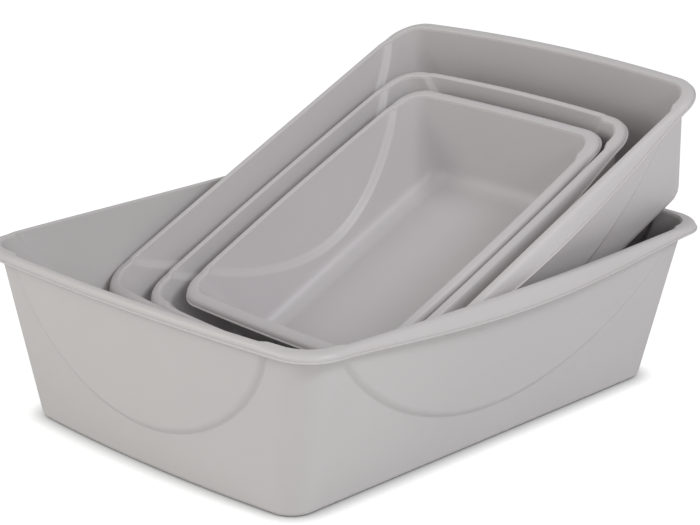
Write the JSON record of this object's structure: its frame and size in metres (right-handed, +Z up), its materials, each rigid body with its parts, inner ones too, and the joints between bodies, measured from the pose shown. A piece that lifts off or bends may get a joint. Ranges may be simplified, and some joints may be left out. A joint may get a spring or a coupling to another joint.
{
  "type": "nesting litter pan set",
  "caption": "Nesting rectangular litter pans with arched wall panels and rolled rims; the smaller ones stack and lean inside the largest.",
  "frame": {"origin": "centre of the largest pan's foot, on the surface it stands on", "axes": "+X along the pans' length towards the raised end of the leaning stack, +Y across them, +Z up"},
  "size_m": [0.5778, 0.469, 0.3026],
  "materials": {
    "giant_pan": "satin warm grey",
    "large_pan": "satin warm grey",
    "medium_pan": "satin warm grey",
    "small_pan": "satin warm grey"
  },
  "bodies": {
    "giant_pan": {"giant_pan": "giant_pan"},
    "large_pan": {"large_pan": "large_pan"},
    "medium_pan": {"medium_pan": "medium_pan"},
    "small_pan": {"small_pan": "small_pan"}
  },
  "joints": [
    {"name": "large_lift", "type": "slide", "parent": "giant_pan", "child": "large_pan", "axis": [0, 0, 1], "range_m": [0, 0.18]},
    {"name": "medium_lift", "type": "slide", "parent": "large_pan", "child": "medium_pan", "axis": [-0.4346, 0.0228, 0.9003], "range_m": [0, 0.13]},
    {"name": "small_lift", "type": "slide", "parent": "medium_pan", "child": "small_pan", "axis": [-0.4346, 0.0228, 0.9003], "range_m": [0, 0.11]}
  ]
}
